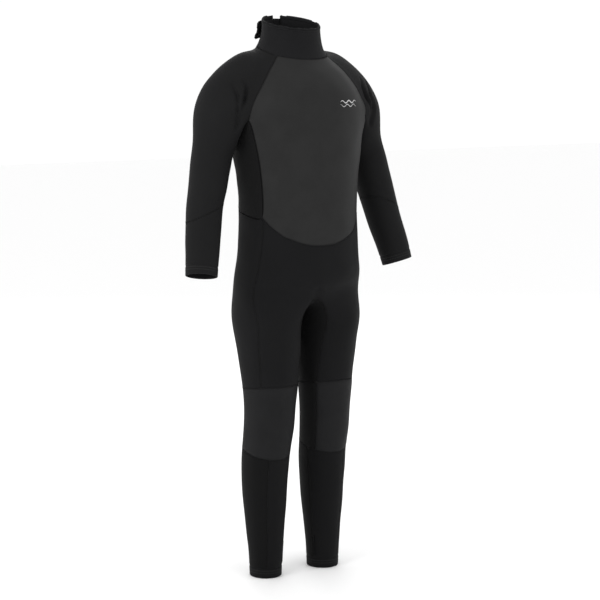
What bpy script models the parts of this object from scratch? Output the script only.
"""A junior full-length neoprene wetsuit with a back zip, in the shape it has when it is worn.

Metres, +Z up. The chest faces -Y and the wearer's left is +X. The ankle hems end on z = 0, and the
origin lies between them. The suit's outer skin is worked out first, as rows of points round the
torso, arms, legs and collar. Each panel is a patch of that skin, given its thickness inwards and
cut back by half a seam gap along its edges. The zip and the neck closure are added at the back.
"""

import math

import bmesh
import bpy
import numpy as np
from mathutils import Matrix, Vector

# ------------------------------------------------------------------ driving dimensions
NEOPRENE = 0.003  # wall of the body, leg and sleeve panels
COLLAR_NEOPRENE = 0.0025  # wall of the collar and of its closure flap
SEAM_GAP = 0.0003  # between the cut edges of two panels that are sewn together
PAD_RAISE = 0.0008  # how far the knee pads stand proud of the panels round them
HEM_RAISE = 0.0004  # how far the turned hems and the collar's binding stand proud

ANKLE_HEM = 0.019  # height of the turned hem at the ankles
WRIST_HEM = 0.017  # and at the wrists
KNEE_SEAM_LOW = 0.240  # height of the seam under the knee pads
KNEE_SEAM_HIGH = 0.374  # and of the seam over them
CROTCH = 0.537  # height of the front of the crotch
WAIST_SEAM_FRONT = 0.637  # the curved seam under the chest panel, at the centre front
WAIST_SEAM_CORNER = 0.684  # where it meets the side panels
WAIST_SEAM_SIDE = 0.703  # at the sides
WAIST_SEAM_BACK = 0.600  # at the foot of the zip
ARMPIT = 0.838
CHEST_CORNER = Vector((0.132, -0.034, 0.880))  # where raglan, chest and side panels meet
BACK_CORNER = Vector((0.128, 0.072, 0.868))
SEAM_BULGE_FRONT = Vector((0.011, -0.0175, 0))  # how far the raglan seams bow out from a chord
SEAM_BULGE_BACK = Vector((0.006, 0.004, 0))
NECK_FRONT = 0.978  # height of the neck seam at the front
NECK_BACK = 1.014  # and at the back
NECK_HALF_WIDTH = 0.066
NECK_HALF_DEPTH = 0.0620
BACK_Y = 0.082  # the flat stretch of the back, where the zip lies
MIDDLE_Y = 0.00534  # the sections below are drawn about a line this far in front of the middle
COLLAR_FRONT_HEIGHT = 0.056
COLLAR_BACK_HEIGHT = 0.046
COLLAR_BINDING = 0.006
ELBOW_TOP = 0.790  # where the elbow's bending stretch starts, down the arm's own centre line
ELBOW_SEAM = 0.700
ELBOW_SEAM_SLANT = 0.022  # the seam is this much lower on the outside of the arm
WRIST = 0.588

ZIP_WINDOW = 0.018  # clear width between the two back panels
ZIP_TAPE_WIDTH = 0.013
ZIP_TAPE = 0.0008
ZIP_PITCH = 0.0045
ZIP_TOOTH = 0.0018  # height of one tooth along the zip
ZIP_TOOTH_REACH = 0.0015  # how far a tooth crosses the centre line
ZIP_BEAD = 0.0016  # the solid bar that the teeth stand on
ZIP_CHAIN_DEPTH = 0.0024
ZIP_FOOT = 0.008  # the chain starts this far above the back's waist seam
ZIP_HEAD = 0.012  # and ends this far below the neck seam
CLEAR = 0.0003  # running clearance and the gap between touching pieces

# ------------------------------------------------------------------ how the skin is divided
TORSO_ANGLES = [0, 15, 30, 46, 61.5, 76, 90, 104, 118.5, 134, 150, 165, 180]  # from the centre front
NECK_SEAM_ANGLE = 57  # where the raglan seams meet the neck, from the centre front or back
FRONT_COLUMNS = 4  # columns of skin from the centre front to a chest seam
SIDE_COLUMNS = 4  # and from there to the back seam
ARM_COLUMNS = 12
CAP_COLUMNS = 8  # of which these pass over the shoulder
LEG_COLUMNS = 16
RAGLAN_ROWS = 5
CHEST_ROWS = 5
HIP_ROWS = 4
COLLAR_ROWS = 2


def smooth_curve(table):
    """A function of height that passes smoothly through rows of (height, values), without overshoot."""
    rows = np.array(sorted(table), float)
    heights, values = rows[:, 0], rows[:, 1:]
    step = np.diff(heights)[:, None]
    slope = np.diff(values, axis=0) / step
    tangent = np.vstack([slope[:1], np.zeros_like(slope[1:]), slope[-1:]])
    for row in range(1, len(heights) - 1):
        before, after = slope[row - 1], slope[row]
        same = before * after > 0
        tangent[row][same] = (2 * before * after / np.where(same, before + after, 1))[same]

    def at(height):
        row = int(np.clip(np.searchsorted(heights, height) - 1, 0, len(heights) - 2))
        t = (height - heights[row]) / step[row, 0]
        low, high = values[row], values[row + 1]
        return (
            (2 * t**3 - 3 * t**2 + 1) * low
            + (t**3 - 2 * t**2 + t) * step[row] * tangent[row]
            + (3 * t**2 - 2 * t**3) * high
            + (t**3 - t**2) * step[row] * tangent[row + 1]
        )

    return at


# height, half width, y of the front, y of the back
torso_section = smooth_curve(
    [
        (CROTCH - 0.020, 0.1270, -0.058, 0.096),
        (CROTCH, 0.1275, -0.066, 0.101),
        (CROTCH + 0.025, 0.1270, -0.078, 0.101),
        (WAIST_SEAM_BACK, 0.1240, -0.084, BACK_Y),
        (WAIST_SEAM_FRONT, 0.1200, -0.085, BACK_Y),
        (WAIST_SEAM_SIDE, 0.1180, -0.083, BACK_Y),
        (WAIST_SEAM_SIDE + 0.050, 0.1185, -0.085, BACK_Y),
        (ARMPIT - 0.020, 0.1210, -0.088, BACK_Y),
        (ARMPIT + 0.030, 0.1240, -0.088, BACK_Y),
    ]
)
# height, x and y of the centre, half width, half depth
leg_section = smooth_curve(
    [
        (0.000, 0.0660, 0.013, 0.0300, 0.0310),
        (0.034, 0.0660, 0.013, 0.0315, 0.0325),
        (0.072, 0.0660, 0.014, 0.0345, 0.0360),
        (0.110, 0.0660, 0.015, 0.0380, 0.0400),
        (0.147, 0.0660, 0.016, 0.0408, 0.0435),
        (0.185, 0.0660, 0.016, 0.0430, 0.0465),
        (0.220, 0.0655, 0.014, 0.0445, 0.0480),
        (0.260, 0.0645, 0.009, 0.0455, 0.0480),
        (0.300, 0.0635, 0.004, 0.0470, 0.0490),
        (0.336, 0.0625, 0.002, 0.0485, 0.0510),
        (KNEE_SEAM_HIGH, 0.0625, 0.002, 0.0515, 0.0550),
        (0.400, 0.0630, 0.003, 0.0540, 0.0590),
        (0.450, 0.0645, 0.005, 0.0590, 0.0680),
        (0.500, 0.0660, 0.007, 0.0625, 0.0760),
    ]
)
# height of the centre line, its x and y, half width, half depth
arm_section = smooth_curve(
    [
        (WRIST, 0.2220, -0.016, 0.0290, 0.0295),
        (0.620, 0.2155, -0.009, 0.0303, 0.0315),
        (0.660, 0.2065, 0.002, 0.0318, 0.0335),
        (0.715, 0.1945, 0.014, 0.0338, 0.0360),
        (0.745, 0.1870, 0.018, 0.0348, 0.0380),
        (ELBOW_TOP, 0.1760, 0.025, 0.0364, 0.0405),
        (0.820, 0.1680, 0.029, 0.0378, 0.0430),
    ]
)


def torso_point(angle, height):
    """A point of the skin round the torso. angle is in degrees from the centre front, towards +X."""
    half_width, front, back = torso_section(height)
    sine, cosine = math.sin(math.radians(angle)), math.cos(math.radians(angle))
    depth = -front if cosine > 0 else back
    x = math.copysign(half_width * abs(sine) ** 0.92, sine)
    y = -math.copysign(depth * abs(cosine) ** 0.88, cosine)
    return Vector((x, y, height))


def neck_point(angle):
    """A point of the neck seam, an oval that is lower at the front."""
    sine, cosine = math.sin(math.radians(angle)), math.cos(math.radians(angle))
    centre = BACK_Y - NECK_HALF_DEPTH
    height = (NECK_BACK + NECK_FRONT) / 2 - (NECK_BACK - NECK_FRONT) / 2 * cosine
    return Vector((NECK_HALF_WIDTH * sine, centre - NECK_HALF_DEPTH * cosine, height))


def mirrored(points):
    return [Vector((-p.x, p.y, p.z)) for p in points]


def waist_seam_height(angle):
    """Height of the seam round the waist: a dip under the chest panel and a deeper one at the back."""
    corner, side = TORSO_ANGLES[FRONT_COLUMNS], TORSO_ANGLES[FRONT_COLUMNS + SIDE_COLUMNS]
    if angle <= corner:
        share = 1 - math.cos(math.radians(90 * angle / corner))
        return WAIST_SEAM_FRONT + (WAIST_SEAM_CORNER - WAIST_SEAM_FRONT) * share
    if angle <= side:
        share = (angle - corner) / (side - corner)
        return WAIST_SEAM_CORNER + (WAIST_SEAM_SIDE - WAIST_SEAM_CORNER) * share
    share = math.sin(math.radians(90 * (angle - side) / (180 - side))) ** 2
    return WAIST_SEAM_SIDE + (WAIST_SEAM_BACK - WAIST_SEAM_SIDE) * share


def crotch_row_height(angle):
    return CROTCH + 0.008 * math.sin(math.radians(angle)) - 0.005 * (angle / 180)


def arm_ring(height, slant=0.0):
    """One ring of 12 points round the left arm, from the front of the armpit over the outside."""
    x, y, half_width, half_depth = arm_section(height)
    below = arm_section(height - 0.01)
    along = (Vector((below[0], below[1], height - 0.01)) - Vector((x, y, height))).normalized()
    outward = Vector((1, 0, 0)) - along * along.x
    outward.normalize()
    backward = outward.cross(along)
    ring = []
    for column in range(ARM_COLUMNS):
        turn = math.radians(30 * (column - CAP_COLUMNS / 2))
        point = Vector((x, y, height))
        point += outward * half_width * math.cos(turn) + backward * half_depth * math.sin(turn)
        ring.append(point + along * slant * math.cos(turn))
    return ring


def leg_angle(column, height):
    """Turn of a leg's column, in degrees from the outside towards the back, kept on the panel seams."""
    inner_front = -126 - 19 * min(1, max(0, (0.490 - height) / 0.120))
    inner_front += 8 * min(1, max(0, (KNEE_SEAM_LOW - height) / 0.060))
    stations = [0, 4, 7, 12, LEG_COLUMNS]
    return float(np.interp(column, stations, [inner_front, -37, 20, 138, inner_front + 360]))


def leg_ring(height, lift=0.0):
    """One ring of 16 points round the left leg, from its inner front over the outside to the back."""
    ring = []
    for column in range(LEG_COLUMNS):
        turn = math.radians(leg_angle(column, height))
        level = height + lift * (1 + math.sin(turn))
        x, y, half_width, half_depth = leg_section(level)
        point = Vector((x + half_width * math.cos(turn), y + half_depth * math.sin(turn), level))
        ring.append(point)
    return ring


def armpit_row():
    """The torso's top row on the left, from the centre front under the arm to the centre back."""
    row = []
    for column in range(FRONT_COLUMNS):
        share = column / FRONT_COLUMNS
        front = torso_point(0, CHEST_CORNER.z)
        y = front.y + (CHEST_CORNER.y - front.y) * share**2.4
        row.append(Vector((CHEST_CORNER.x * share, y, CHEST_CORNER.z)))
    row.append(CHEST_CORNER.copy())
    row.append(Vector((0.1275, -0.006, ARMPIT + 0.014)))
    row.append(Vector((0.1255, 0.028, ARMPIT - 0.004)))
    row.append(Vector((0.1265, 0.054, ARMPIT + 0.010)))
    for column in range(FRONT_COLUMNS + 1):
        share = 1 - column / FRONT_COLUMNS
        y = BACK_Y + (BACK_CORNER.y - BACK_Y) * share**2.4
        row.append(Vector((BACK_CORNER.x * share, y, BACK_CORNER.z)))
    return row


def shoulder_arc(row):
    """The armpit ring's upper part, from the chest corner over the outside of the shoulder."""
    centre, half_width, half_depth = Vector((0.160, 0.032, 0.872)), 0.036, 0.053
    arc = []
    for column in range(CAP_COLUMNS + 1):
        turn = math.radians(30 * (column - CAP_COLUMNS / 2))
        point = centre + Vector((half_width * math.cos(turn), half_depth * math.sin(turn), 0))
        arc.append(point + Vector((0, 0, 0.012 * math.cos(turn))))
    to_front, to_back = CHEST_CORNER - arc[0], BACK_CORNER - arc[-1]
    for column, point in enumerate(arc):
        point += to_front * max(0, 1 - column / 3) ** 1.5
        point += to_back * max(0, 1 - (CAP_COLUMNS - column) / 3) ** 1.5
    return arc


def strand(start, end, first, last, rows):
    """Points along a cubic curve from start to end, with the two inner control points given."""
    points = []
    for row in range(rows + 1):
        t = row / rows
        near = (1 - t) ** 3 * start + 3 * (1 - t) ** 2 * t * first
        points.append(near + 3 * (1 - t) * t**2 * last + t**3 * end)
    return points


def cap_strands(arc):
    """For each column over the shoulder, the points from the neck seam down to the armpit ring."""
    strands = []
    for column in range(CAP_COLUMNS + 1):
        share = column / CAP_COLUMNS
        angle = NECK_SEAM_ANGLE + (180 - 2 * NECK_SEAM_ANGLE) * share
        start, end = neck_point(angle), arc[column]
        over = math.sin(math.pi * share) ** 0.8
        seam = SEAM_BULGE_FRONT.lerp(SEAM_BULGE_BACK, share)
        straight = start.lerp(end, 1 / 3) + seam, start.lerp(end, 2 / 3) + seam
        first = start + Vector((0.050, 0.012, 0.002))
        last = end + Vector((-0.008, 0.004, 0.062))
        first, last = straight[0].lerp(first, over), straight[1].lerp(last, over)
        strands.append(strand(start, end, first, last, RAGLAN_ROWS))
    return strands


def yoke_strands(row, centre_angle, bulge, seam):
    """Front or back columns from the neck seam down to the armpit row, from the centre to +X."""
    strands = []
    for column, end in enumerate(row):
        across = column / FRONT_COLUMNS
        start = neck_point(abs(centre_angle - NECK_SEAM_ANGLE * across))
        middle = 1 - across**1.6
        first = start.lerp(end, 1 / 3) + Vector((0, bulge[0], 0)) * middle
        last = start.lerp(end, 2 / 3) + Vector((0, bulge[1], 0)) * middle
        side = Vector((seam.x * across, seam.y * (1 - middle), 0))
        strands.append(strand(start, end, first + side, last + side, RAGLAN_ROWS))
    return strands


def turned_out(ring):
    """The direction a face looks in, as long as twice the face's area."""
    outward = Vector()
    for point, after in zip(ring, ring[1:] + ring[:1]):
        outward += (point - ring[0]).cross(after - ring[0])
    return outward


def around(ring):
    """Each corner of a ring with the ones before and after it."""
    return zip(ring[-1:] + ring[:-1], ring, ring[1:] + ring[:1])


def halved(points, face):
    """The face's triangles. A four-sided face is cut along its shorter diagonal."""
    if len(face) == 4:
        a, b, c, d = face
        if (points[a] - points[c]).length < (points[b] - points[d]).length:
            return [(a, b, c), (a, c, d)]
        return [(b, c, d), (b, d, a)]
    # A face with more corners is cut from its flattest one.
    arms = [(points[a] - points[b], points[c] - points[b]) for a, b, c in around(face)]
    flattest = max(range(len(face)), key=lambda corner: arms[corner][0].angle(arms[corner][1]))
    face = face[flattest:] + face[:flattest]
    return [(face[0], b, c) for b, c in zip(face[1:], face[2:])]


class Skin:
    """The suit's outer surface: shared points, four-sided faces, and the panel each face belongs to."""

    def __init__(self):
        self.points, self.index, self.faces = [], {}, []

    def vertex(self, point):
        key = tuple(round(value * 1e6) for value in point)
        if key not in self.index:
            self.index[key] = len(self.points)
            self.points.append(point.copy())
        return self.index[key]

    def patch(self, rows, panel_of, closed=False):
        """Faces between rows of points. panel_of(row, column) names the panel of each face."""
        width = len(rows[0]) if closed else len(rows[0]) - 1
        for row in range(len(rows) - 1):
            for column in range(width):
                after = (column + 1) % len(rows[0])
                corners = rows[row][column], rows[row + 1][column]
                corners += rows[row + 1][after], rows[row][after]
                face = tuple(self.vertex(corner) for corner in corners)
                self.faces.append((face, panel_of(row, column)))

    def mirror(self):
        """Adds the right half: the same faces turned over, and left panels renamed."""
        for face, panel in list(self.faces):
            twins = []
            for corner in reversed(face):
                point = self.points[corner]
                twins.append(self.vertex(Vector((-point.x, point.y, point.z))))
            self.faces.append((tuple(twins), panel.replace("left_", "right_")))

    def finish(self):
        """Works out a direction out of the skin at each point, and which edges are shared by panels."""
        self.normals = [Vector() for _ in self.points]
        self.owners = {}
        for face, panel in self.faces:
            outward = turned_out([self.points[corner] for corner in face])
            for corner, after in zip(face, face[1:] + face[:1]):
                self.normals[corner] += outward
                self.owners.setdefault(frozenset((corner, after)), set()).add(panel)
        for point, normal in zip(self.points, self.normals):
            if point.z < 1e-6:
                normal.z = 0
            normal.normalize()


def new_object(name, bm, shade):
    """Turns a bmesh into one node with a plain material of its own."""
    bmesh.ops.recalc_face_normals(bm, faces=bm.faces)
    if bm.calc_volume(signed=True) < 0:
        bmesh.ops.reverse_faces(bm, faces=bm.faces)
    mesh = bpy.data.meshes.new(name)
    bm.to_mesh(mesh)
    bm.free()
    obj = bpy.data.objects.new(name, mesh)
    bpy.context.collection.objects.link(obj)
    material = bpy.data.materials.new(name)
    material.use_nodes = True
    surface = material.node_tree.nodes["Principled BSDF"]
    surface.inputs["Base Color"].default_value = (*shade[:3], 1)
    surface.inputs["Roughness"].default_value = shade[3]
    surface.inputs["Metallic"].default_value = shade[4] if len(shade) > 4 else 0
    mesh.materials.append(material)
    return obj


def thicken(name, points, faces, normals, shade, outer, inner, trimmed=()):
    """A panel: faces raised by outer and doubled at inner along the normals, with walls between.

    Edges in trimmed are cut back by half a seam gap, along the surface.
    """
    corners = sorted({corner for face in faces for corner in face})
    uses, inward = {}, {corner: [] for corner in corners}
    for face in faces:
        for a, b in zip(face, face[1:] + face[:1]):
            uses.setdefault(frozenset((a, b)), []).append((a, b, face))
    borders = [found[0] for found in uses.values() if len(found) == 1]
    for a, b, face in borders:
        if frozenset((a, b)) in trimmed:
            up = (normals[a] + normals[b]).normalized()
            into = up.cross(points[b] - points[a]).normalized()
            inward[a].append(into)
            inward[b].append(into)
    bm = bmesh.new()
    top, bottom = {}, {}
    for corner in corners:
        place = points[corner].copy()
        if len(inward[corner]) == 1:
            place += inward[corner][0] * SEAM_GAP / 2
        elif inward[corner]:
            first, second = inward[corner][:2]
            place += (first + second) * (SEAM_GAP / 2 / max(0.3, 1 + first.dot(second)))
        top[corner] = bm.verts.new(place + normals[corner] * outer)
        bottom[corner] = bm.verts.new(place + normals[corner] * inner)
    for face in faces:
        for piece in halved(points, face):
            bm.faces.new([top[corner] for corner in piece])
            bm.faces.new([bottom[corner] for corner in reversed(piece)])
    for a, b, _ in borders:
        # Cut along the shorter diagonal too, so that two walls that face across a seam match.
        falling = points[a] - (points[b] - normals[b] * NEOPRENE)
        rising = points[b] - (points[a] - normals[a] * NEOPRENE)
        if falling.length < rising.length:
            bm.faces.new([top[b], top[a], bottom[b]])
            bm.faces.new([top[a], bottom[a], bottom[b]])
        else:
            bm.faces.new([top[b], top[a], bottom[a]])
            bm.faces.new([top[b], bottom[a], bottom[b]])
    return new_object(name, bm, shade)


def grid(rows):
    """A loose patch: its points, four-sided faces and normals, from rows of points."""
    points = [point for row in rows for point in row]
    width = len(rows[0])
    faces = []
    for row in range(len(rows) - 1):
        for column in range(width - 1):
            first = row * width + column
            faces.append((first, first + width, first + width + 1, first + 1))
    normals = [Vector() for _ in points]
    for face in faces:
        outward = turned_out([points[corner] for corner in face])
        for corner in face:
            normals[corner] += outward
    return points, faces, [normal.normalized() for normal in normals]


def boxes(name, parts, shade):
    """One solid from boxes that are joined by a Boolean: parts holds (low corner, high corner)."""
    made = []
    for low, high in parts:
        bm = bmesh.new()
        bmesh.ops.create_cube(bm, size=1)
        size, middle = Vector(high) - Vector(low), (Vector(high) + Vector(low)) / 2
        for vert in bm.verts:
            vert.co = Vector(v * s for v, s in zip(vert.co, size)) + middle
        made.append(new_object(name if not made else name + "_piece", bm, shade))
    for piece in made[1:]:
        joined = made[0].modifiers.new("join", "BOOLEAN")
        joined.operation, joined.solver, joined.object = "UNION", "EXACT", piece
    if len(made) > 1:
        bpy.context.view_layer.update()
        graph = bpy.context.evaluated_depsgraph_get()
        mesh = bpy.data.meshes.new_from_object(made[0].evaluated_get(graph))
        made[0].modifiers.clear()
        made[0].data = mesh
        for piece in made[1:]:
            bpy.data.objects.remove(piece)
    return made[0]


# ------------------------------------------------------------------ the skin of the left half
def torso_rows():
    """Rows from the armpit down to the waist seam, and from there down to the crotch."""
    top = armpit_row()
    upper, lower = [], []
    for row in range(CHEST_ROWS + 1):
        share, line = row / CHEST_ROWS, []
        for angle, start in zip(TORSO_ANGLES, top):
            height = start.z + (waist_seam_height(angle) - start.z) * share
            point = torso_point(angle, height)
            point += (start - torso_point(angle, start.z)) * (1 - share) ** 2.2
            line.append(flat_back(point, angle))
        upper.append(line)
    for row in range(HIP_ROWS + 1):
        share, line = row / HIP_ROWS, []
        for angle in TORSO_ANGLES:
            high, low = waist_seam_height(angle), crotch_row_height(angle)
            height = high + (low - high) * share
            shifted = angle + 6.5 * share * math.sin(math.radians(angle * 180 / 123)) ** 2
            shifted = shifted if angle < 120 else angle
            point = torso_point(shifted, height)
            if row == 0 and angle != 180:
                point = flat_back(point, angle)
            line.append(point)
        lower.append(line)
    return upper, lower


def flat_back(point, angle):
    """Keeps the middle of the back flat, with the zip's window left open."""
    if angle == 180:
        return Vector((ZIP_WINDOW / 2, point.y, point.z))
    if angle == TORSO_ANGLES[-2]:
        return Vector((point.x, torso_section(point.z)[2], point.z))
    return point


def crotch_bridge(front, back):
    """Three points under the crotch, from back to front."""
    bridge = []
    for share, drop in ((0.25, 0.013), (0.52, 0.019), (0.78, 0.014)):
        point = back.lerp(front, share)
        bridge.append(Vector((0, point.y, point.z - drop)))
    return bridge


def neck_row_back(strands):
    """Moves the back's last strand to the edge of the zip's window."""
    for point in strands:
        point.x = ZIP_WINDOW / 2
    return strands


def build_skin():
    skin = Skin()
    upper, lower = torso_rows()
    corner, side = FRONT_COLUMNS, FRONT_COLUMNS + SIDE_COLUMNS

    def body_panel(row, column):
        if column < corner:
            return "chest_panel"
        return "left_side_panel" if column < side else "left_back_panel"

    def hip_panel(row, column):
        return "trouser_front_panel" if column < corner else "left_seat_panel"

    skin.patch(upper, body_panel)
    skin.patch(lower, hip_panel)
    # The seat's top edge has one more point, where the back panel's edge leaves it for the zip.
    face, panel = skin.faces[-(HIP_ROWS - 1) * (len(TORSO_ANGLES) - 1) - 1]
    extra = skin.vertex(upper[-1][-1])
    skin.faces[-(HIP_ROWS - 1) * (len(TORSO_ANGLES) - 1) - 1] = (face + (extra,), panel)

    # The yoke: chest and back panels go on up to the neck seam, with the shoulder between them.
    front = yoke_strands(upper[0][: corner + 1], 0, (-0.016, -0.026), SEAM_BULGE_FRONT)
    back_row = upper[0][: side - 1 : -1]
    back_row[0] = Vector((0, back_row[0].y, back_row[0].z))
    back = yoke_strands(back_row, 180, (0, 0), SEAM_BULGE_BACK)[::-1]
    neck_row_back(back[-1])
    back[-2] = [Vector((p.x, max(p.y, q.y - 0.0012), p.z)) for p, q in zip(back[-2], back[-1])]
    arc = shoulder_arc(upper[0])
    cap = cap_strands(arc)

    def turned(strands):
        return [[points[row] for points in strands] for row in range(RAGLAN_ROWS + 1)]

    skin.patch(turned(front), lambda row, column: "chest_panel")
    skin.patch(turned(cap), lambda row, column: "left_upper_sleeve")
    skin.patch(turned(back), lambda row, column: "left_back_panel")

    # The arm, from the armpit ring down.
    rings = [arc + [upper[0][7], upper[0][6], upper[0][5]]]
    rings.append(arm_ring(0.820, -0.010))
    levels = np.linspace(ELBOW_TOP, ELBOW_SEAM, 5)
    rings += [arm_ring(level, ELBOW_SEAM_SLANT * row / 4) for row, level in enumerate(levels)]
    hem_top = WRIST + WRIST_HEM
    levels = np.linspace(ELBOW_SEAM, hem_top, 5)[1:]
    rings += [arm_ring(level, ELBOW_SEAM_SLANT * (3 - row) / 4) for row, level in enumerate(levels)]
    rings.append(arm_ring(WRIST))
    names = ["left_upper_sleeve"] * 2 + ["left_elbow_panel"] * 4 + ["left_forearm_panel"] * 4
    names.append("left_wrist_hem")
    skin.patch(rings, lambda row, column: names[row], closed=True)

    # The leg, from the crotch down.
    rings = [lower[-1] + crotch_bridge(lower[-1][0], lower[-1][-1])]
    rings += [leg_ring(0.497, 0.002), leg_ring(0.455), leg_ring(0.412)]
    rings.append(leg_ring(KNEE_SEAM_HIGH, -0.006))
    rings += [leg_ring(level, lift) for level, lift in ((0.341, -0.003), (0.307, 0.002), (0.270, 0.007))]
    rings.append(leg_ring(KNEE_SEAM_LOW - 0.008, 0.012))
    rings += [leg_ring(0.196, 0.006), leg_ring(0.158, 0.002), leg_ring(0.120), leg_ring(0.082)]
    rings += [leg_ring(0.048), leg_ring(ANKLE_HEM), leg_ring(0)]

    def leg_panel(row, column):
        if row < 4:
            return "trouser_front_panel" if column < 4 else leg_back(column)
        if row < 8:
            return "left_knee_pad" if column < 7 else "left_knee_back_panel"
        if row < 14:
            return "left_shin_panel" if column < 3 or column == 15 else "left_calf_panel"
        return "left_ankle_hem"

    def leg_back(column):
        return "left_seat_panel" if column < 12 else "crotch_gusset"

    skin.patch(rings, leg_panel, closed=True)

    # The collar, open at the back.
    base = [strand[0] for strand in front] + [strand[0] for strand in cap[1:]]
    base += [strand[0] for strand in back[1:]]
    levels = []
    for row in range(COLLAR_ROWS + 2):
        share = row / COLLAR_ROWS if row <= COLLAR_ROWS else 1
        line = []
        for point in base:
            front_share = (BACK_Y - point.y) / (2 * NECK_HALF_DEPTH)
            rise = COLLAR_BACK_HEIGHT + (COLLAR_FRONT_HEIGHT - COLLAR_BACK_HEIGHT) * front_share
            height = (rise - COLLAR_BINDING) * share + COLLAR_BINDING * (row > COLLAR_ROWS)
            narrow = 0.845 + 0.155 * (1 - min(1, height / rise * 1.3)) ** 2
            x = point.x if point.y > BACK_Y - 0.001 else point.x * narrow
            centre = BACK_Y - NECK_HALF_DEPTH + 0.009
            lean = 0.004 * height / rise
            y = centre + (point.y - centre) * narrow + lean * front_share
            line.append(Vector((x, y, point.z + height)))
        levels.append(line)
    levels.reverse()
    skin.patch(levels, lambda row, column: "collar" if row else "collar_binding")
    skin.mirror()
    skin.finish()
    return skin, levels, back, upper


MATT, SMOOTH = 0.85, 0.45
SHADES = {
    "chest_panel": (0.030, 0.030, 0.030, SMOOTH),
    "side_panel": (0.011, 0.011, 0.012, MATT),
    "back_panel": (0.024, 0.024, 0.024, SMOOTH),
    "seat_panel": (0.012, 0.012, 0.013, MATT),
    "trouser_front_panel": (0.012, 0.012, 0.013, MATT),
    "crotch_gusset": (0.006, 0.006, 0.007, MATT),
    "upper_sleeve": (0.016, 0.016, 0.017, MATT),
    "elbow_panel": (0.016, 0.016, 0.017, MATT),
    "forearm_panel": (0.014, 0.014, 0.015, MATT),
    "knee_pad": (0.020, 0.020, 0.022, 0.7),
    "knee_back_panel": (0.009, 0.009, 0.010, MATT),
    "shin_panel": (0.011, 0.011, 0.012, MATT),
    "calf_panel": (0.010, 0.010, 0.011, MATT),
    "hem": (0.010, 0.010, 0.011, MATT),
    "collar": (0.015, 0.015, 0.017, MATT),
}


def add_panels(skin):
    names = list(dict.fromkeys(panel for _, panel in skin.faces))
    shared = {edge for edge, owners in skin.owners.items() if len(owners) > 1}
    for name in names:
        faces = [face for face, panel in skin.faces if panel == name]
        kind = name.removeprefix("left_").removeprefix("right_")
        kind = "hem" if kind.endswith("hem") else kind
        kind = "collar" if kind.startswith("collar") else kind
        raised = PAD_RAISE if kind == "knee_pad" else HEM_RAISE if kind == "hem" else 0
        raised = HEM_RAISE if name == "collar_binding" else raised
        wall = COLLAR_NEOPRENE if kind == "collar" else NEOPRENE
        shade = SHADES[kind]
        thicken(name, skin.points, faces, skin.normals, shade, raised, -wall, shared)


# ------------------------------------------------------------------ the back zip
CHAIN_Y = BACK_Y - 0.0015  # the chain lies level with the middle of the panels' thickness
CHAIN_LOW = WAIST_SEAM_BACK + ZIP_FOOT
CHAIN_HIGH = NECK_BACK - ZIP_HEAD - 0.010
SLIDER_LENGTH = 0.014
SLIDER_HALF_WIDTH = 0.0056
SLIDER_PLATE = 0.0012
POST_HALF_WIDTH = 0.0012
POST_HEIGHT = 0.0026
BRIDGE_HALF_WIDTH = 0.0011
BRIDGE_RISE = 0.0020
PULL_LENGTH = 0.034
PULL_WIDTH = 0.0105
PULL_THICKNESS = 0.0012
BLACK_PLASTIC = (0.012, 0.012, 0.012, 0.35)
BLACK_METAL = (0.025, 0.025, 0.026, 0.3, 0.8)
TAPE_CLOTH = (0.010, 0.010, 0.010, 0.9)


def teeth(name, side, count, first):
    """One row of teeth: a bar that runs up the zip, with a tooth across the centre line at each pitch."""
    bar_near, bar_far = ZIP_TOOTH_REACH + CLEAR, ZIP_TOOTH_REACH + CLEAR + ZIP_BEAD
    low, high = CHAIN_Y - ZIP_CHAIN_DEPTH / 2, CHAIN_Y + ZIP_CHAIN_DEPTH / 2
    levels = [CHAIN_LOW]
    for tooth in range(count):
        start = first + tooth * ZIP_PITCH
        levels += [start, start + ZIP_TOOTH]
    levels.append(CHAIN_HIGH)
    bm = bmesh.new()
    ring = {}
    for row, level in enumerate(levels):
        for key, x in (("near", bar_near), ("far", bar_far), ("tip", -ZIP_TOOTH_REACH)):
            if key == "tip" and row in (0, len(levels) - 1):
                continue
            for end, y in (("low", low), ("high", high)):
                ring[row, key, end] = bm.verts.new((side * x, y, level))

    def face(*corners):
        corners = [ring[corner] for corner in corners]
        bm.faces.new(corners if side > 0 else corners[::-1])

    for row in range(len(levels) - 1):
        up = row + 1
        face((row, "near", "low"), (row, "far", "low"), (up, "far", "low"), (up, "near", "low"))
        face((row, "far", "low"), (row, "far", "high"), (up, "far", "high"), (up, "far", "low"))
        face((row, "far", "high"), (row, "near", "high"), (up, "near", "high"), (up, "far", "high"))
        if row % 2 == 0:
            face((row, "near", "high"), (row, "near", "low"), (up, "near", "low"), (up, "near", "high"))
            continue
        face((row, "tip", "low"), (row, "near", "low"), (up, "near", "low"), (up, "tip", "low"))
        face((row, "near", "high"), (row, "tip", "high"), (up, "tip", "high"), (up, "near", "high"))
        face((row, "tip", "high"), (row, "tip", "low"), (up, "tip", "low"), (up, "tip", "high"))
        face((row, "near", "low"), (row, "tip", "low"), (row, "tip", "high"), (row, "near", "high"))
        face((up, "tip", "low"), (up, "near", "low"), (up, "near", "high"), (up, "tip", "high"))
    last = len(levels) - 1
    face((0, "far", "low"), (0, "near", "low"), (0, "near", "high"), (0, "far", "high"))
    face((last, "near", "low"), (last, "far", "low"), (last, "far", "high"), (last, "near", "high"))
    return new_object(name, bm, BLACK_PLASTIC)


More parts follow.
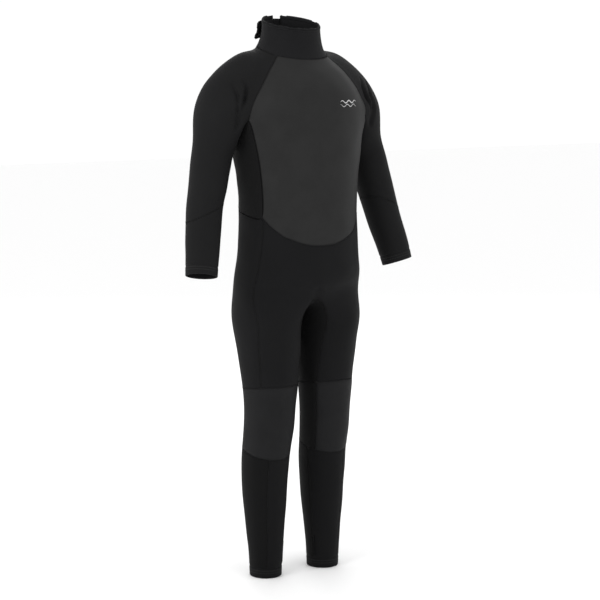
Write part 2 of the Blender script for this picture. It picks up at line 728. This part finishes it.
def add_zip():
    count = int((CHAIN_HIGH - CHAIN_LOW - ZIP_PITCH) / ZIP_PITCH)
    half = ZIP_PITCH / 2
    teeth("left_zip_teeth", 1, count, CHAIN_LOW + half / 2)
    teeth("right_zip_teeth", -1, count, CHAIN_LOW + half / 2 + half)
    near = ZIP_TOOTH_REACH + CLEAR + ZIP_BEAD + CLEAR
    far = ZIP_WINDOW / 2 - SEAM_GAP
    for name, side in (("left_zip_tape", 1), ("right_zip_tape", -1)):
        ends = sorted((side * near, side * far))
        low = (ends[0], CHAIN_Y - ZIP_TAPE / 2, WAIST_SEAM_BACK + 0.003)
        high = (ends[1], CHAIN_Y + ZIP_TAPE / 2, NECK_BACK - 0.010)
        boxes(name, [(low, high)], TAPE_CLOTH)
    stop = ZIP_TOOTH_REACH + CLEAR + ZIP_BEAD
    depth = ZIP_CHAIN_DEPTH / 2
    low = (-stop, CHAIN_Y - depth, CHAIN_LOW - CLEAR - 0.0035)
    boxes("zip_bottom_stop", [(low, (stop, CHAIN_Y + depth, CHAIN_LOW - CLEAR))], BLACK_PLASTIC)
    for name, side in (("left_zip_top_stop", 1), ("right_zip_top_stop", -1)):
        ends = sorted((side * (POST_HALF_WIDTH + CLEAR * 2), side * stop))
        low = (ends[0], CHAIN_Y - depth, CHAIN_HIGH + CLEAR)
        high = (ends[1], CHAIN_Y + depth, CHAIN_HIGH + CLEAR + 0.0045)
        boxes(name, [(low, high)], BLACK_PLASTIC)

    # The slider: two plates joined by a post between the top stops, with lips round the tapes.
    post_low = CHAIN_HIGH + 0.0006
    top = post_low + POST_HEIGHT
    foot = top - SLIDER_LENGTH
    inner, outer = depth + CLEAR, depth + CLEAR + SLIDER_PLATE
    lip, lip_gap = near + 0.0012, ZIP_TAPE / 2 + CLEAR
    wide = SLIDER_HALF_WIDTH
    parts = [
        ((-wide, CHAIN_Y + inner, foot), (wide, CHAIN_Y + outer, top)),
        ((-wide, CHAIN_Y - outer, foot), (wide, CHAIN_Y - inner, top)),
        (
            (-POST_HALF_WIDTH, CHAIN_Y - outer + 0.0003, post_low),
            (POST_HALF_WIDTH, CHAIN_Y + outer - 0.0003, top - 0.0003),
        ),
    ]
    for side in (1, -1):
        ends = sorted((side * lip, side * (wide - 0.0002)))
        for low, high in ((lip_gap, inner + 0.0004), (-inner - 0.0004, -lip_gap)):
            corner = (ends[0], CHAIN_Y + low, foot + 0.0003)
            parts.append((corner, (ends[1], CHAIN_Y + high, top - 0.0004)))
    # The bridge that holds the pull: two feet and a bar that runs along the zip.
    base = CHAIN_Y + outer
    bridge_low, bridge_high = foot + 0.003, foot + 0.0105
    half = BRIDGE_HALF_WIDTH
    for low, high in ((bridge_low, bridge_low + 0.0014), (bridge_high - 0.0014, bridge_high)):
        parts.append(((-half, base - 0.0004, low), (half, base + BRIDGE_RISE + 0.0004, high)))
    low = (-half + 0.0001, base + BRIDGE_RISE, bridge_low + 0.0002)
    parts.append((low, (half - 0.0001, base + BRIDGE_RISE + 0.0012, bridge_high - 0.0002)))
    boxes("zip_slider", parts, BLACK_METAL)

    # The pull: a cross pin under the bridge, two arms beside it, and the tab with an eye at its end.
    pin_y = base + BRIDGE_RISE / 2
    pin_z = bridge_low + 0.0014 + CLEAR + 0.0006
    reach = half + 0.0005
    half_width, half_thick = PULL_WIDTH / 2, PULL_THICKNESS / 2
    window = pin_z - 0.0065
    end = pin_z - PULL_LENGTH
    low_y, high_y = pin_y - half_thick, pin_y + half_thick
    slim = 0.0001
    parts = [
        (
            (-half_width + slim, pin_y - 0.0006, pin_z - 0.0006),
            (half_width - slim, pin_y + 0.0006, pin_z + 0.0006),
        )
    ]
    for side in (1, -1):
        ends = sorted((side * reach, side * half_width))
        parts.append(((ends[0], low_y - slim, window - 0.0005), (ends[1], high_y + slim, pin_z + 0.0006)))
    eye = end + 0.0100
    parts.append(((-half_width + slim, low_y, eye), (half_width - slim, high_y, window)))
    for side in (1, -1):
        ends = sorted((side * 0.0032, side * (half_width - 2 * slim)))
        parts.append(((ends[0], low_y + slim, end + 0.0004), (ends[1], high_y - slim, eye + 0.0004)))
    parts.append(((-half_width + slim, low_y, end), (half_width - slim, high_y, end + 0.0026)))
    boxes("zip_pull", parts, BLACK_METAL)
    return Vector((0, pin_y, pin_z))


def add_under_flap(rows):
    """The strip of thin neoprene behind the zip. Its left edge is sewn to the inside of the back."""
    lines = []
    for row in rows:
        across, edge = row[0], row[1]
        wide = edge.lerp(across, 0.55)
        lines.append([Vector((-wide.x, wide.y, wide.z)), Vector((-edge.x, edge.y, edge.z))])
        lines[-1] += [Vector((edge.x, edge.y, edge.z)), wide]
    points, faces, normals = grid(lines)
    thicken("zip_under_flap", points, faces, normals, TAPE_CLOTH, -0.0052, -0.0070)


# ------------------------------------------------------------------ the closure at the neck
FLAP_START = -17  # degrees from the centre back, on the wearer's left where the flap is sewn on
FLAP_END = 58  # and its free end, round on the wearer's right
FLAP_LOW = 0.007  # above the neck seam
FLAP_HIGH = COLLAR_BACK_HEIGHT - COLLAR_BINDING + 0.0005
PATCH_LOW = FLAP_LOW + 0.005
PATCH_HIGH = FLAP_HIGH - 0.0055
HOOK_FABRIC = (0.015, 0.015, 0.015, 0.95)


def collar_point(levels, angle, height):
    """A point and its outward direction on the collar. angle goes from the centre back to -X."""
    rows = [level for level in levels[::-1]]
    base = [Vector((-p.x, p.y, p.z)) for p in rows[0]]
    line = []
    for place in range(len(base)):
        column = []
        for row in rows:
            column.append(Vector((-row[place].x, row[place].y, row[place].z)))
        heights = [point.z - column[0].z for point in column]
        below = min(len(heights) - 2, int(np.searchsorted(heights, height) - 1))
        share = (height - heights[below]) / (heights[below + 1] - heights[below])
        line.append(column[below].lerp(column[below + 1], share))
    line += [Vector((-p.x, p.y, p.z)) for p in line[::-1]]
    centre = Vector((0, BACK_Y - NECK_HALF_DEPTH + 0.009, 0))
    turns = [math.degrees(math.atan2(-(p.x - centre.x), p.y - centre.y)) for p in line]
    # The line runs from the front centre round to the back on -X, then on from the back on +X.
    for place in range(len(turns) - 1):
        first, last = turns[place], turns[place + 1]
        if first >= angle >= last:
            share = (first - angle) / (first - last) if first != last else 0
            along = line[place + 1] - line[place]
            outward = Vector((along.y, -along.x, 0)).normalized()
            point = line[place].lerp(line[place + 1], share)
            if outward.dot(point - Vector((centre.x, centre.y, point.z))) < 0:
                outward = -outward
            return point, outward
    raise ValueError(angle)


def curved_strip(name, levels, angles, heights, lift, wall, shade):
    """A strip that follows the outside of the collar. lift gives its inner face's distance from it."""
    inside, outward = [], []
    for height in heights[::-1]:
        inside.append([])
        for angle in angles:
            point, away = collar_point(levels, angle, height)
            inside[-1].append(point + away * lift(angle))
    points, faces, normals = grid(inside)
    centre = Vector((0, BACK_Y - NECK_HALF_DEPTH, points[0].z))
    if normals[0].dot(points[0] - centre) < 0:
        faces = [face[::-1] for face in faces]
        normals = [-normal for normal in normals]
    for normal in normals:
        normal.z = 0
        normal.normalize()
    thicken(name, points, faces, normals, shade, wall, 0)


def add_neck_closure(levels):
    def stand_off(angle):
        """The flap lies on the collar at its root and stands off more and more to its free end."""
        share = (angle - FLAP_START) / (FLAP_END - FLAP_START)
        return 0.0008 + 0.0062 * share**1.5

    angles = [FLAP_START + (FLAP_END - FLAP_START) * step / 12 for step in range(13)]
    heights = [FLAP_LOW + (FLAP_HIGH - FLAP_LOW) * step / 2 for step in range(3)]
    wall = COLLAR_NEOPRENE
    curved_strip("neck_closure_flap", levels, angles, heights, stand_off, wall, SHADES["collar"])
    heights = [PATCH_LOW + (PATCH_HIGH - PATCH_LOW) * step / 2 for step in range(3)]
    angles = [30 + 26 * step / 6 for step in range(7)]
    wall = 0.0009

    def under(angle):
        return stand_off(angle) - 0.0004 - wall

    curved_strip("hook_patch", levels, angles, heights, under, wall, HOOK_FABRIC)
    angles = [26 + 32 * step / 8 for step in range(9)]
    curved_strip("loop_patch", levels, angles, heights, lambda angle: 0.0003, 0.0006, HOOK_FABRIC)
    # The flap turns about the line between the two ends of its sewn edge, clear of the collar.
    ends = []
    for height in (FLAP_LOW, FLAP_HIGH):
        root, outward = collar_point(levels, FLAP_START, height)
        ends.append(root + outward * stand_off(FLAP_START))
    return (ends[0] + ends[1]) / 2


# ------------------------------------------------------------------ joint axes
ELBOW = Vector((0.1870, 0.0180, 0.745))  # the left elbow; the right one is its mirror image
KNEE = Vector((0.0635, 0.0040, 0.307))
MOVING = {
    "elbow": ("forearm_panel", "wrist_hem"),
    "knee": ("shin_panel", "calf_panel", "ankle_hem"),
}


def set_origin(name, place):
    """Puts a moving piece's origin on its joint's axis, and leaves the piece where it is."""
    obj = bpy.data.objects[name]
    obj.data.transform(Matrix.Translation(-place))
    obj.location = place


def set_origins(flap_root, pull_pin):
    for side, flip in (("left_", 1), ("right_", -1)):
        for joint, place in (("elbow", ELBOW), ("knee", KNEE)):
            for piece in MOVING[joint]:
                set_origin(side + piece, Vector((flip * place.x, place.y, place.z)))
    for piece in ("neck_closure_flap", "hook_patch"):
        set_origin(piece, flap_root)
    set_origin("zip_pull", pull_pin)
    set_origin("zip_slider", Vector((0, CHAIN_Y, pull_pin.z)))


# ------------------------------------------------------------------ start
for found in list(bpy.data.objects):
    bpy.data.objects.remove(found)

skin, collar_levels, back_strands, upper_rows = build_skin()
add_panels(skin)
pull_pin = add_zip()
behind_zip = [(row[-2], row[-1]) for row in upper_rows[::-1]]
behind_zip += [
    (back_strands[-2][row], back_strands[-1][row]) for row in range(RAGLAN_ROWS - 1, 0, -1)
]
add_under_flap(behind_zip)
flap_root = add_neck_closure(collar_levels)
set_origins(flap_root, pull_pin)
for part in bpy.data.objects:
    part.location.y -= MIDDLE_Y
